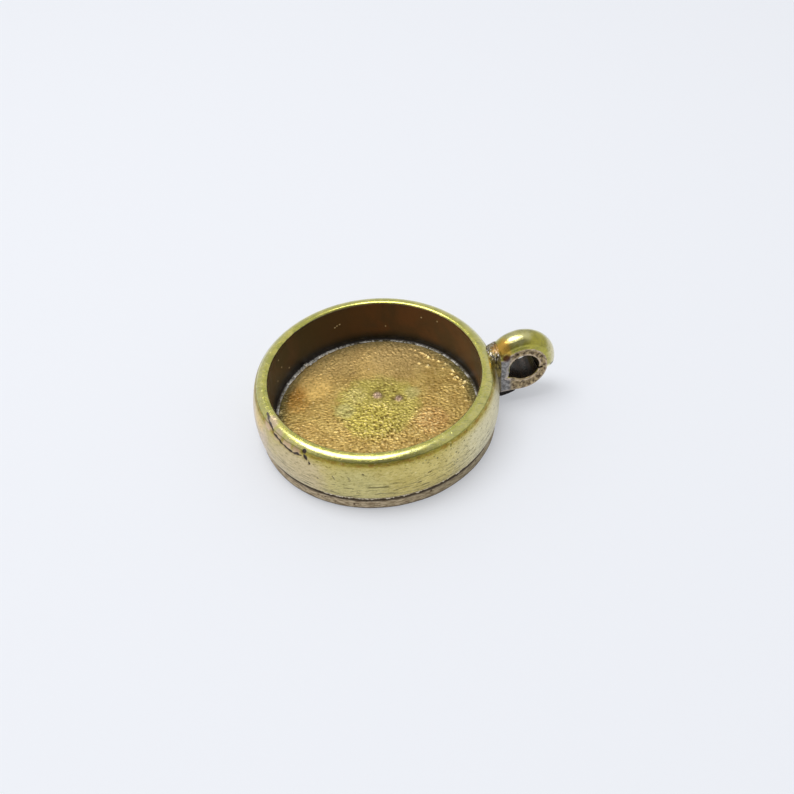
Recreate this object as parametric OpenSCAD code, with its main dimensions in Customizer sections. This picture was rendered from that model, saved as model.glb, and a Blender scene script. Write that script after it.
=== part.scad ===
// Open round pendant cup with a fixed side loop, brass, in millimetres.
// The origin is the centre of the back face. The cup opens up +Z and the loop stands out along +Y.

/* [Cup] */
// Diameter of the seat, which takes a round stone of the same size
seat_d = 16; // [12:0.5:20]
// Height of the cup's rim above the back face
cup_h = 5; // [4.6:0.1:6]
// Thickness of the wall at its widest line
wall_t = 1.38; // [1.3:0.02:1.6]
// Height of the band's widest line above the back face
barrel_z = 2.5; // [2.2:0.1:2.8]
// Radius of the gentle barrel curve up the outside of the band
barrel_r = 6.25; // [5:0.25:9]
// Radius of the rounded outer shoulder of the rim
shoulder_r = 0.8; // [0.6:0.05:0.9]
// Radius of the rounded inner edge of the rim
inner_edge_r = 0.25; // [0.1:0.05:0.3]
// Height of the bevel under the band's lower outer edge
bevel_h = 0.35; // [0.2:0.05:0.5]
// How far out from the seat's wall that bevel starts
bevel_start = 0.9; // [0.7:0.05:1]

/* [Base plate] */
// Thickness of the base plate, whose top face is the floor of the seat
base_t = 1.1; // [0.9:0.05:1.4]
// How far the plate's edge stands in from the band's widest line
foot_step = 0.28; // [0.2:0.02:0.36]
// Radius of the plate's worn lower edge
foot_edge_r = 0.18; // [0.1:0.02:0.3]

/* [Loop] */
// Diameter of the eye, which takes a jump ring or a cord
eye_d = 2.4; // [2:0.1:2.6]
// Distance from the cup's axis to the centre of the eye
eye_y = 11.38; // [11.3:0.02:11.6]
// Height of the eye's centre above the back face
eye_z = 3.43; // [3.35:0.02:3.5]
// Width of the loop along the eye
loop_w = 2.07; // [1.8:0.03:2.4]
// Gap between the band's widest line and the loop's flat root
root_gap = 0.12; // [0.05:0.01:0.2]
// Outer radius of the upper half of the loop, on its crown
arch_r = 2.7; // [2.6:0.02:2.8]
// Outer radius of the upper half's flat side, where it turns into the crown
arch_side_r = 1.85; // [1.8:0.01:1.9]
// Outer radius of the lower half of the loop, on its crown
heel_r = 2.28; // [2.25:0.02:2.4]
// Outer radius of the lower half's flat side
heel_side_r = 2.01; // [1.98:0.01:2.1]
// How far the lower half's centre lies towards the cup, and down, from the eye's centre
heel_shift = 0.15; // [0.1:0.01:0.2]
// How far below the eye's centre the two halves step
ledge_drop = 0.4; // [0.2:0.05:0.6]

/* [Solder] */
// Leg of the solder fillet round the floor
floor_fillet = 0.3; // [0.2:0.02:0.35]
// Width of the solder that shows in the seam above the base plate
seam_fill = 0.16; // [0.1:0.02:0.2]
// How much further that solder reaches up the bevel than along the plate
seam_draw = 1.6; // [1.2:0.1:2]
// How far the solder stands out past the sides of the loop's root
root_flare = 0.14; // [0.08:0.02:0.2]
// How far the root's solder reaches in over the rim, from the centre of its shoulder
root_reach = 0.55; // [0.3:0.05:0.6]
// Size of the corners taken off that solder, above and below
root_corner = 0.5; // [0.3:0.05:0.7]

/* [Hidden] */
$fn = 240;

seat_r = seat_d / 2;
band_r = seat_r + wall_t;
foot_r = band_r - foot_step;
far = 3 * band_r;                              // larger than anything that is cut with it

// The barrel curve's centre, and the shoulder's centre, which touches the barrel and the rim
barrel_x = band_r - barrel_r;
shoulder_z = cup_h - shoulder_r;
shoulder_x = barrel_x + sqrt(pow(barrel_r - shoulder_r, 2) - pow(shoulder_z - barrel_z, 2));
shoulder_start_z = barrel_z + barrel_r * (shoulder_z - barrel_z) / (barrel_r - shoulder_r);

// The bevel runs from the solder seam up to the barrel
bevel_in = seat_r + bevel_start;
bevel_top_z = base_t + bevel_h;
bevel_out = barrel_x + sqrt(pow(barrel_r, 2) - pow(bevel_top_z - barrel_z, 2));
bevel_slope = bevel_h / (bevel_out - bevel_in);

// The loop's root is filed flat, square to +Y, just clear of the band
root_y = band_r + root_gap;
heel_y = eye_y - heel_shift;
heel_z = eye_z - heel_shift;
root_bottom_z = heel_z - heel_r;
neck_top_z = eye_z + sqrt(pow(arch_r, 2) - pow(eye_y - root_y, 2));
ledge_z = eye_z - ledge_drop;
// The eye is drawn out to a blunt corner, low on the side that faces the cup
corner_y = -1.34;
corner_z = -0.78;
corner_blend = 0.98;                            // share of the eye's radius at which the corner's sides start

// The root's solder stops a little short of the loop's underside and crown
solder_bottom_z = root_bottom_z + 0.15;
solder_top_z = neck_top_z - 0.03;

// A box from one corner to the other in the plane
module span(low, high) {
    translate(low) square(high - low);
}

// Points along an arc of the given centre and radius, from one angle to the other
function arc(centre, r, from, to, steps) =
    [for (i = [0:steps]) let (a = from + (to - from) * i / steps) centre + r * [cos(a), sin(a)]];

// Section of the band, radius across and height up, from its outer side in to the given radius
module band_section(inner_r) {
    bevel_angle = asin((bevel_top_z - barrel_z) / barrel_r);
    shoulder_angle = asin((shoulder_z - barrel_z) / (barrel_r - shoulder_r));
    shoulder = arc([shoulder_x, shoulder_z], shoulder_r, shoulder_angle, 90, 10);
    rim_edge = [inner_r + inner_edge_r, cup_h - inner_edge_r];
    polygon(concat(
        [[inner_r, base_t], [bevel_in, base_t]],
        arc([barrel_x, barrel_z], barrel_r, bevel_angle, shoulder_angle, 8),
        [for (p = shoulder) if (p[1] > shoulder_start_z) p],
        arc(rim_edge, inner_edge_r, 90, 180, 5)));
}

// Wall of the cup: a turned and bellied ring with a rounded rim
module bezel_band() {
    color("darkkhaki") rotate_extrude() band_section(seat_r);
}

// Foot and floor in one: a round plate a little smaller than the band
module base_plate() {
    color("peru") rotate_extrude() {
        span([0, 0], [foot_r - foot_edge_r, base_t]);
        span([0, foot_edge_r], [foot_r, base_t]);
        translate([foot_r - foot_edge_r, foot_edge_r]) circle(foot_edge_r);
    }
}

// Solder drawn up into the corner between the floor and the wall
module floor_solder() {
    color("silver") rotate_extrude()
        polygon([[seat_r - floor_fillet, base_t], [seat_r, base_t], [seat_r, base_t + floor_fillet]]);
}

// Solder squeezed out under the band's bevel, all round the outside
module seam_solder() {
    drawn = seam_draw * seam_fill;
    color("dimgray") rotate_extrude()
        polygon([[bevel_in, base_t], [bevel_in + seam_fill, base_t],
                 [bevel_in + drawn, base_t + drawn * bevel_slope]]);
}

// Crown across the loop's width, as [offset across, height], with its top at height 0
function crown(crown_r, side_r) =
    let (sag = crown_r - side_r, r = (pow(loop_w / 2, 2) + pow(sag, 2)) / (2 * sag),
         half = asin(loop_w / 2 / r))
    arc([0, -r], r, 90 + half, 90 - half, 12);

// Disc across X about a given point, with flat sides and a rounded crown
module crowned_disc(y, z, crown_r, side_r) {
    rim = [for (p = crown(crown_r, side_r)) [crown_r + p[1], p[0]]];
    translate([0, y, z]) rotate([0, 90, 0]) rotate_extrude()
        polygon(concat([[0, loop_w / 2], [0, -loop_w / 2]], rim));
}

// Keeps what is drawn above or below the step between the loop's two halves
module above_ledge() {
    intersection() {
        children();
        translate([-far, -far, ledge_z]) cube(2 * far);
    }
}
module below_ledge() {
    intersection() {
        children();
        translate([-far, -far, ledge_z - 2 * far]) cube(2 * far);
    }
}

// Neck from the flat root to the ring, its crown and underside rounded like the ring's
module neck() {
    translate([0, root_y, 0]) rotate([90, 0, 180]) linear_extrude(heel_y - root_y)
        polygon(concat([for (p = crown(arch_r, arch_side_r)) [p[0], neck_top_z + p[1]]],
                       [for (p = crown(heel_r, heel_side_r)) [-p[0], root_bottom_z - p[1]]]));
}

// The eye: a round hole along X, drawn out to a corner on the side that faces the cup
module eye() {
    reach = sqrt(pow(corner_y, 2) + pow(corner_z, 2));
    spread = acos(eye_d / 2 / reach);
    heading = atan2(corner_z, corner_y);
    inside = corner_blend * eye_d / 2;
    touch = [for (side = [-1, 1]) inside * [cos(heading + side * spread), sin(heading + side * spread)]];
    translate([0, eye_y, eye_z]) rotate([90, 0, 90]) linear_extrude(2 * loop_w, center = true) {
        circle(eye_d / 2);
        polygon([[0, 0], touch[0], [corner_y, corner_z], touch[1]]);
    }
}

// Fixed loop, cast in one: a crowned arch above, a slimmer heel below, and a neck to the band
module bail_loop() {
    color("goldenrod") difference() {
        union() {
            above_ledge() crowned_disc(eye_y, eye_z, arch_r, arch_side_r);
            below_ledge() crowned_disc(heel_y, heel_z, heel_r, heel_side_r);
            neck();
        }
        translate([-far, root_y - 2 * far, -far]) cube(2 * far);
        eye();
    }
}

// Solder that fills the wedge between the loop's flat root and the bellied band
module loop_solder() {
    half = loop_w / 2 + root_flare;
    low = solder_bottom_z + root_corner;
    high = solder_top_z - 1.8 * root_corner;
    foot_half = half - root_corner;
    top_half = half - 1.4 * root_corner;
    rim_y = shoulder_x + root_reach;
    color("lightgray") difference() {
        intersection() {
            translate([0, root_y, 0]) rotate([90, 0, 0]) linear_extrude(root_y - seat_r)
                polygon([[-half, low], [-foot_half, solder_bottom_z],
                         [foot_half, solder_bottom_z], [half, low],
                         [half, high], [top_half, solder_top_z],
                         [-top_half, solder_top_z], [-half, high]]);
            rotate([90, 0, 90]) linear_extrude(2 * half, center = true)
                polygon([[root_y, 0], [root_y, solder_top_z], [rim_y, cup_h], [rim_y, 0]]);
        }
        rotate_extrude() band_section(0);
    }
}

bezel_band();
base_plate();
floor_solder();
seam_solder();
bail_loop();
loop_solder();
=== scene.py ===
from math import atan2, cos, degrees, exp, hypot, pi, radians, sin, sqrt

import bpy
from mathutils import Matrix, Vector, noise


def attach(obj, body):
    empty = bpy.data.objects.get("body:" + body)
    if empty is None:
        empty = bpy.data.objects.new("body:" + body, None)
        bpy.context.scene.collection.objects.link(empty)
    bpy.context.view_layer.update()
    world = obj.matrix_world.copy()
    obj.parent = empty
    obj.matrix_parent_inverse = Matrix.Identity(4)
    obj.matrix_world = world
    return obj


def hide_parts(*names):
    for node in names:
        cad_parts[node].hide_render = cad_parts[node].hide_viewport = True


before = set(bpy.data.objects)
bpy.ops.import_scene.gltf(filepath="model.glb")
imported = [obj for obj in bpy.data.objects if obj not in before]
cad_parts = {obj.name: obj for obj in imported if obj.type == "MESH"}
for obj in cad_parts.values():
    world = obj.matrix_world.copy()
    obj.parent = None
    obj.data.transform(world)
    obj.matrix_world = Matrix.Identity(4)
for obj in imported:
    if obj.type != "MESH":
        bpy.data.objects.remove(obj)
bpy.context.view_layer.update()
MM = 0.001  # the pieces are shaped in millimetres and then brought down to metres
noise.seed_set(1)  # without a seed, vector noise would come out differently in each run

# ---- Camera ----
# It stands to the side of the loop, half way up, and is tipped a little about its own line of sight.
CAMERA_PLACE = (0.05769, -0.00735, 0.05994)
CAMERA_RIGHT = Vector((0.2108, 0.9757, -0.0594))
CAMERA_AHEAD = Vector((-0.7009, 0.1085, -0.7050))
LENS_MM = 48.5

camera_data = bpy.data.cameras.new("camera")
camera_data.lens = LENS_MM
camera_data.sensor_width = 36
camera_data.clip_start = 0.001
camera_data.clip_end = 20
camera = bpy.data.objects.new("camera", camera_data)
bpy.context.scene.collection.objects.link(camera)
back = -CAMERA_AHEAD.normalized()
up = back.cross(CAMERA_RIGHT).normalized()
right = up.cross(back)
camera.matrix_world = Matrix.Translation(CAMERA_PLACE) @ Matrix((right, up, back)).transposed().to_4x4()
bpy.context.scene.camera = camera

# ---- Base plate: floor of the seat and foot in one ----
# A cast brass disc that the band stands on. Its top was never polished: it keeps the grain of the sand,
# two cast nibs near the middle and the colours of the soldering. Its rim shows below the band as the foot.
SEAT_R = 8.0
FLOOR_Z = 1.1
FOOT_R = 9.1
FOOT_EDGE_R = 0.18
FLOOR_CELLS = 268
GRAIN_LONG, GRAIN_SHORT = 0.3, 0.19
GRAIN_DEPTH = 0.06
NIBS = [(-1.38, 0.26, 0.3), (-0.6, 1.8, 0.26)]
SMOOTH_SPOTS = [(-3.6, -4.7, 1.5), (-2.6, 4.2, 1.7), (-4.6, 0.6, 1.4), (-0.4, -2.5, 0.8), (-1.0, 3.0, 0.6)]
COARSE_SPOTS = [(0.85, (1.3, -0.6, 2.4)), (0.45, (2.2, 3.7, 1.6)), (0.3, (4.6, 0.0, 2.5))]
CRUMBS = [(-4.1, 4.3, 0.13), (-3.6, 4.85, 0.16), (-1.64, 6.6, 0.15), (-1.0, 7.3, 0.17), (-0.6, 7.0, 0.12),
          (-2.2, 6.5, 0.11), (-4.6, 5.1, 0.12), (-1.3, 6.95, 0.12), (-1.64, -7.4, 0.16), (-3.0, 6.0, 0.1)]
CRUMB_HEIGHT = 0.13
RIDGE_TURN, RIDGE_SPREAD, RIDGE_R = 118, 26, 7.1  # middle and spread in degrees, and distance from the axis
TUCK = 0.02  # how far the floor runs on under the wall
FOOT_START_R = 8.95


def deselect():
    bpy.ops.object.select_all(action="DESELECT")


def choose(piece):
    deselect()
    piece.select_set(True)
    bpy.context.view_layer.objects.active = piece


def spot(x, y, place):
    """How strongly a round spot, given as x, y and radius, is felt at a point, from 0 to 1."""
    return exp(-((x - place[0]) ** 2 + (y - place[1]) ** 2) / place[2] ** 2)


def bell(off, width):
    """1 at no offset, falling away to 0 over about twice the width."""
    return exp(-((off / width) ** 2))


def ripple(x, y, z, size):
    """Smooth noise about 0, with waves of the given size."""
    return noise.noise(Vector((x, y, z)) / size)


def grain(x, y):
    """Height of the sand grain on the floor, worm-like and drawn out along Y."""
    drift = noise.noise_vector(Vector((x, y, 4)) / 0.8) * 0.22
    at = Vector(((x + drift.x) / GRAIN_SHORT, (y + drift.y) / GRAIN_LONG, 0))
    worm = 0.55 - 1.6 * abs(noise.noise(at))
    crumbs = ripple(x, y, 9, 0.17) + 0.5 * ripple(x, y, 5, 0.09)
    swell = ripple(x, y, 2, 2.2) + 0.5 * ripple(x, y, 7, 0.7)
    patchy = 0.5 + ripple(x, y, 12, 1.1)
    smooth = min(1, sum(spot(x, y, place) for place in SMOOTH_SPOTS))
    coarse = sum(share * spot(x, y, place) for share, place in COARSE_SPOTS)
    strength = (0.3 + 0.32 * patchy) * (1 - 0.7 * smooth) + coarse
    height = GRAIN_DEPTH * (strength * (worm + 0.8 * crumbs) + 0.4 * swell)
    # A second ridge of solder crumbs stands off the floor's edge, on the side towards the loop
    turn = degrees(atan2(y, x)) % 360
    along = bell(turn - RIDGE_TURN, RIDGE_SPREAD)
    ridge = bell(hypot(x, y) - RIDGE_R - 0.25 * ripple(x, y, 6, 1.3), 0.1)
    height += 0.1 * along * ridge * max(0, -0.05 + 2 * ripple(x, y, 8, 0.3))
    for place in CRUMBS:
        height += CRUMB_HEIGHT * spot(x, y, place) * (0.7 + 1.4 * ripple(x, y, 3, 0.13))
    return height


def to_disc(u, v):
    """Brings a square from -1 to 1 to a disc of radius 1, with cells of even area."""
    if u == 0 and v == 0:
        return 0, 0
    if abs(u) > abs(v):
        r, angle = u, pi / 4 * v / u
    else:
        r, angle = v, pi / 2 - pi / 4 * u / v
    return r * cos(angle), r * sin(angle)


def edit_all():
    bpy.ops.object.mode_set(mode="EDIT")
    bpy.ops.mesh.select_all(action="SELECT")


def close_edit():
    """Turns all faces outward and leaves edit mode."""
    bpy.ops.mesh.select_all(action="SELECT")
    bpy.ops.mesh.normals_make_consistent(inside=False)
    bpy.ops.object.mode_set(mode="OBJECT")


def new_outline(points, fill="NGON"):
    """A new piece that is one closed line, or one flat face, through the given points."""
    deselect()
    bpy.ops.mesh.primitive_circle_add(vertices=len(points), radius=1, fill_type=fill)
    made = bpy.context.object
    for vertex, point in zip(made.data.vertices, points):
        vertex.co = point
    return made


def finish_mesh(piece, angle):
    """Brings a piece down from millimetres to metres, at the origin, and smooths all but its sharp edges."""
    piece.data.transform(Matrix.Scale(MM, 4))
    choose(piece)
    bpy.ops.object.shade_smooth_by_angle(angle=radians(angle))


deselect()
bpy.ops.mesh.primitive_grid_add(x_subdivisions=FLOOR_CELLS, y_subdivisions=FLOOR_CELLS, size=2)
base_plate = bpy.context.object
base_plate.name = "cast_base_plate"
for vertex in base_plate.data.vertices:
    x, y = to_disc(vertex.co.x, vertex.co.y)
    x, y = x * (SEAT_R + TUCK), y * (SEAT_R + TUCK)
    r = hypot(x, y)
    height = grain(x, y) if r < SEAT_R else 0
    for place in NIBS:
        near = spot(x, y, place)
        height -= 0.05 * (spot(x, y, (place[0], place[1], 1.7 * place[2])) - near)
        height += near * (0.13 + 0.26 * ripple(x, y, 3, 0.17))
    vertex.co = (x, y, FLOOR_Z + height)

# The rim is drawn out from the floor's edge in rings: out under the band, round the worn edge and in below
rim_steps = [(8.5, FLOOR_Z), (FOOT_START_R, FLOOR_Z), (9.07, 1.075), (FOOT_R, 1.03), (FOOT_R, 0.9)]
rim_steps += [(FOOT_R, z) for z in (0.75, 0.6, 0.45, 0.3)]
for step in range(5):
    turn = radians(22.5 * step)
    centre = FOOT_R - FOOT_EDGE_R
    rim_steps.append((centre + FOOT_EDGE_R * cos(turn), FOOT_EDGE_R * (1 - sin(turn))))
rim_steps += [(8.6, 0)]
edit_all()
bpy.ops.mesh.region_to_loop()
last_r, last_z = SEAT_R + TUCK, FLOOR_Z
for r, z in rim_steps:
    bpy.ops.mesh.extrude_edges_move()
    bpy.ops.transform.resize(value=(r / last_r, r / last_r, 1), center_override=(0, 0, 0))
    bpy.ops.transform.translate(value=(0, 0, z - last_z))
    last_r, last_z = r, z
bpy.ops.mesh.edge_face_add()
close_edit()
for vertex in base_plate.data.vertices:
    x, y, z = vertex.co
    r = hypot(x, y)
    if r > FOOT_START_R:  # the foot was never trued: it waves a little and has small casting pits
        dent = 0.02 * ripple(x, y, z, 1.7)
        dent += 0.022 * abs(ripple(x, y, 2 * z, 0.22))
        shrink = 1 - (0.012 + dent) / r
        vertex.co = (x * shrink, y * shrink, z)
finish_mesh(base_plate, 60)


def is_socket(value):
    return isinstance(value, bpy.types.NodeSocket)


def tree_of(*values):
    """The node tree that the sockets among the values belong to."""
    return next(value.id_data for value in values if is_socket(value))


def connect(socket, value):
    if is_socket(value):
        socket.id_data.links.new(value, socket)
    else:
        socket.default_value = value


def add(tree, kind, settings=None, **sockets):
    """A shader node. Each named socket takes a value or the output of another node."""
    made = tree.nodes.new("ShaderNode" + kind)
    for name, value in (settings or {}).items():
        setattr(made, name, value)
    for name, value in sockets.items():
        connect(made.inputs[name.replace("_", " ")], value)
    return made


def compute(operation, *values):
    made = tree_of(*values).nodes.new("ShaderNodeMath")
    made.operation = operation
    for socket, value in zip(made.inputs, values):
        connect(socket, value)
    return made.outputs[0]


def times(first, second):
    return compute("MULTIPLY", first, second)


def ramp(value, low, high, out_low=0.0, out_high=1.0):
    """Smooth step: out_low below low, out_high above high."""
    made = tree_of(value).nodes.new("ShaderNodeMapRange")
    made.interpolation_type = "SMOOTHSTEP"
    for socket, number in zip(made.inputs, (value, low, high, out_low, out_high)):
        connect(socket, number)
    return made.outputs[0]


def tint(mask, under, over, mode="MIX"):
    """The colour under, painted over as far as the mask goes."""
    made = tree_of(mask, under, over).nodes.new("ShaderNodeMix")
    made.data_type = "RGBA"
    made.blend_type = mode
    connect(made.inputs[0], mask)
    connect(made.inputs[6], under if is_socket(under) else (*under, 1))
    connect(made.inputs[7], over if is_socket(over) else (*over, 1))
    return made.outputs[2]


def new_group(name, inputs, output):
    group = bpy.data.node_groups.new(name, "ShaderNodeTree")
    for label, kind, value in inputs:
        socket = group.interface.new_socket(label, in_out="INPUT", socket_type="NodeSocket" + kind)
        if value is not None:
            socket.default_value = value
    group.interface.new_socket(output, in_out="OUTPUT", socket_type="NodeSocketFloat")
    return group, group.nodes.new("NodeGroupInput").outputs, group.nodes.new("NodeGroupOutput").inputs[0]


def place_group(group, **values):
    made = tree_of(*values.values()).nodes.new("ShaderNodeGroup")
    made.node_tree = group
    for name, value in values.items():
        connect(made.inputs[name.replace("_", " ")], value)
    return made.outputs[0]


# Mottle: cloudy mask from 0 to 1, for uneven tarnish and wandering tones
mottle, source, result = new_group(
    "mottle", [("Position", "Vector", None), ("Size", "Float", 1.0), ("Bias", "Float", 0.5)], "Mask")
scale = compute("DIVIDE", 1.0, source["Size"])
cloud = add(mottle, "TexNoise", Vector=source["Position"], Scale=scale, Detail=4.0, Roughness=0.6,
            Distortion=0.4)
low = compute("SUBTRACT", source["Bias"], 0.14)
high = compute("ADD", source["Bias"], 0.14)
mottle.links.new(ramp(cloud.outputs[0], low, high), result)

# Stain: round patch with a ragged edge
stain, source, result = new_group(
    "stain", [("Position", "Vector", None), ("Centre", "Vector", None), ("Radius", "Float", 1.0),
              ("Ragged", "Float", 0.3), ("Soft", "Float", 0.5)], "Mask")
apart = add(stain, "VectorMath", {"operation": "DISTANCE"})
stain.links.new(source["Position"], apart.inputs[0])
stain.links.new(source["Centre"], apart.inputs[1])
cloud = add(stain, "TexNoise", Vector=source["Position"], Scale=1.6, Detail=5.0, Roughness=0.65)
wander = times(compute("SUBTRACT", cloud.outputs[0], 0.5), source["Ragged"])
reach = compute("ADD", compute("DIVIDE", apart.outputs["Value"], source["Radius"]),
                times(wander, 2.0))
outer = compute("ADD", 1.0, source["Soft"])
inner = compute("SUBTRACT", 1.0, source["Soft"])
stain.links.new(ramp(reach, inner, outer, 1.0, 0.0), result)

# Pits: scattered round specks, of which only a share is kept
pits, source, result = new_group(
    "pits", [("Position", "Vector", None), ("Spacing", "Float", 0.5), ("Size", "Float", 0.2),
             ("Share", "Float", 0.5)], "Mask")
scale = compute("DIVIDE", 1.0, source["Spacing"])
cells = add(pits, "TexVoronoi", Vector=source["Position"], Scale=scale)
lot = add(pits, "SeparateColor", Color=cells.outputs["Color"]).outputs[0]
kept = compute("LESS_THAN", lot, source["Share"])
core = times(source["Size"], 0.5)
round_speck = ramp(cells.outputs["Distance"], core, source["Size"], 1.0, 0.0)
pits.links.new(times(kept, round_speck), result)

# Scratches: fine broken lines across the short direction of the given stretch
scratches, source, result = new_group(
    "scratches", [("Position", "Vector", None), ("Turn", "Vector", None), ("Stretch", "Vector", None),
                  ("Share", "Float", 0.5)], "Mask")
turned = add(scratches, "Mapping", Vector=source["Position"], Rotation=source["Turn"],
             Scale=source["Stretch"])
lines = add(scratches, "TexNoise", Vector=turned.outputs[0], Scale=1.0, Detail=3.0, Roughness=0.7)
edge = compute("SUBTRACT", 0.74, times(source["Share"], 0.2))
scratches.links.new(ramp(lines.outputs[0], edge, compute("ADD", edge, 0.07)), result)


def new_material(name):
    """A material, its node tree, its Principled shader and the surface's position in millimetres."""
    material = bpy.data.materials.new(name)
    material.use_nodes = True
    tree = material.node_tree
    shader = tree.nodes["Principled BSDF"]
    place = add(tree, "TexCoord").outputs["Object"]
    position = add(tree, "Mapping", Vector=place, Scale=(1 / MM, 1 / MM, 1 / MM)).outputs[0]
    return material, tree, shader, position


def split(position):
    """Radius from the cup's axis, and the x, y and z of a position."""
    tree = position.id_data
    parts = add(tree, "SeparateXYZ", Vector=position).outputs
    flat = add(tree, "VectorMath", {"operation": "MULTIPLY"}, Vector=position)
    flat.inputs[1].default_value = (1, 1, 0)
    length = add(tree, "VectorMath", {"operation": "LENGTH"}, Vector=flat.outputs[0])
    return length.outputs["Value"], parts[0], parts[1], parts[2]


def noisy(position, scale, detail, roughness=0.5):
    made = add(position.id_data, "TexNoise", Vector=position, Scale=scale, Detail=detail, Roughness=roughness)
    return made.outputs[0]


def cloudy(position, size, bias=0.5):
    return place_group(mottle, Position=position, Size=size, Bias=bias)


def pitted(position, spacing, size, share):
    return place_group(pits, Position=position, Spacing=spacing, Size=size, Share=share)


def stained(position, centre, radius, ragged, soft):
    return place_group(stain, Position=position, Centre=centre, Radius=radius, Ragged=ragged, Soft=soft)


def lay_stain(position, colour, centre, radius, ragged, soft, paint, strength):
    """The colour with a ragged patch of paint on it."""
    mask = stained(position, centre, radius, ragged, soft)
    return tint(times(mask, strength), colour, paint)


def set_bump(shader, height, depth):
    """Fine relief, with its depth given in millimetres."""
    bump = add(height.id_data, "Bump", Strength=0.5, Distance=depth * MM, Height=height)
    connect(shader.inputs["Normal"], bump.outputs[0])


cast_brass, tree, shader, position = new_material("cast_brass_floor")
radius, along_x, along_y, height = split(position)
colour = tint(cloudy(position, 1.5), (0.52, 0.35, 0.09), (0.68, 0.5, 0.15))
# Colours that the soldering left, each as (centre, radius, raggedness, softness, paint, strength)
patches = [
    ((-5.2, 1.2, FLOOR_Z), 1.8, 0.5, 0.6, (0.85, 0.58, 0.16), 0.7),
    ((-0.35, 0.1, FLOOR_Z), 3.2, 0.35, 0.14, (0.53, 0.48, 0.1), 0.85),
    ((1.3, -0.6, FLOOR_Z), 1.7, 0.5, 0.5, (0.58, 0.5, 0.08), 0.75),
    ((-3.7, -4.5, FLOOR_Z), 1.45, 0.3, 0.3, (0.95, 0.66, 0.2), 0.95),
    ((-3.4, -6.0, FLOOR_Z), 0.9, 0.6, 0.6, (0.58, 0.27, 0.03), 0.8),
    ((-2.1, -6.1, FLOOR_Z), 0.9, 0.6, 0.6, (0.58, 0.27, 0.03), 0.5),
    ((2.3, 3.8, FLOOR_Z), 1.3, 0.6, 0.4, (0.6, 0.33, 0.11), 0.6),
    ((0.9, -5.7, FLOOR_Z), 0.9, 0.6, 0.5, (0.5, 0.28, 0.07), 0.35),
    ((-4.9, 2.6, FLOOR_Z), 2.2, 0.6, 0.5, (0.6, 0.44, 0.17), 0.6),
    ((-1.7, -1.5, FLOOR_Z), 0.8, 0.5, 0.4, (0.62, 0.56, 0.18), 0.6),
    ((-0.4, -2.5, FLOOR_Z), 0.75, 0.4, 0.3, (0.62, 0.59, 0.22), 0.75),
    ((-1.0, 3.0, FLOOR_Z), 0.6, 0.4, 0.3, (0.6, 0.56, 0.22), 0.6),
]
for patch in patches:
    colour = lay_stain(position, colour, *patch)
edge_wander = noisy(position, 1.3, 4.0)
edge_r = compute("ADD", radius, times(edge_wander, 0.9))
colour = tint(ramp(edge_r, 7.3, 8.0, 0.0, 0.85), colour, (0.14, 0.14, 0.05))
# Painted shade and painted highlight: the grain's hollows are darkened and its tips lightened
crevice = ramp(height, FLOOR_Z - 0.04, FLOOR_Z + 0.012, 1.0, 0.0)
colour = tint(crevice, colour, (0.3, 0.24, 0.06), "MULTIPLY")
tip = ramp(height, FLOOR_Z + 0.01, FLOOR_Z + 0.055, 0.0, 0.55)
colour = tint(tip, colour, (0.95, 0.8, 0.36))
crumb = ramp(height, FLOOR_Z + 0.065, FLOOR_Z + 0.09)
colour = tint(crumb, colour, (0.7, 0.6, 0.32))
# Darker towards the front (+X). Towards the back (-X) a warm tint is painted light that lifts the floor where
# the wall shades it
colour = tint(ramp(along_x, 0.0, 7.0, 0.0, 0.5), colour, (0.72, 0.66, 0.5), "MULTIPLY")
colour = tint(ramp(along_x, -2.5, -6.5, 0.0, 0.45), colour, (1.0, 0.74, 0.32))
dust = noisy(position, 4.5, 5.0, 0.75)
colour = tint(ramp(dust, 0.5, 0.64, 0.0, 0.65), colour, (0.2, 0.14, 0.02))
colour = tint(ramp(dust, 0.46, 0.33, 0.0, 0.6), colour, (1.0, 0.8, 0.38))
for x, y, size in NIBS:
    spot_place = (x, y, FLOOR_Z + 0.1)
    colour = lay_stain(position, colour, spot_place, 1.8 * size, 0.8, 0.4, (0.26, 0.2, 0.05), 0.7)
    nib_paint = tint(cloudy(position, 0.14), (0.34, 0.22, 0.14), (0.78, 0.6, 0.44))
    colour = tint(stained(position, spot_place, 1.1 * size, 0.6, 0.4), colour, nib_paint)
specks = pitted(position, 0.9, 0.09, 0.16)
colour = tint(specks, colour, (0.95, 0.8, 0.5))
colour = tint(1.0, colour, (0.93, 0.89, 0.86), "MULTIPLY")
on_foot = compute("MAXIMUM", ramp(radius, 8.3, 8.6), ramp(height, 0.6, 0.4))
drawn_out = add(tree, "Mapping", Vector=position, Scale=(0.6, 0.6, 2.6)).outputs[0]
foot = tint(cloudy(drawn_out, 0.34), (0.24, 0.17, 0.09), (0.66, 0.54, 0.36))
foot = tint(ramp(along_y, -2.0, 6.0, 0.0, 0.5), foot, (0.22, 0.19, 0.11))
foot = tint(pitted(position, 0.4, 0.3, 0.2), foot, (0.1, 0.06, 0.03))
# Painted shade: the foot is darkened at its top, just under the band's bevel and the seam
foot = tint(ramp(height, 0.76, 0.96, 0.0, 0.92), foot, (0.045, 0.028, 0.014))
# Painted shade along the foot's lower edge, where it meets the table
lower_edge_shade = times(ramp(height, 0.08, 0.3, 0.9, 0.0), ramp(radius, 8.6, 8.95))
foot = tint(lower_edge_shade, foot, (0.05, 0.035, 0.02))
colour = tint(on_foot, colour, foot)
tree.links.new(colour, shader.inputs["Base Color"])
shader.inputs["Metallic"].default_value = 0.6
tree.links.new(ramp(height, 1.0, FLOOR_Z + 0.04, 0.6, 0.44), shader.inputs["Roughness"])
set_bump(shader, noisy(position, 9.0, 4.0, 0.7), 0.02)
base_plate.data.materials.append(cast_brass)
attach(base_plate, "root")
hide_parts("base_plate")

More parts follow.
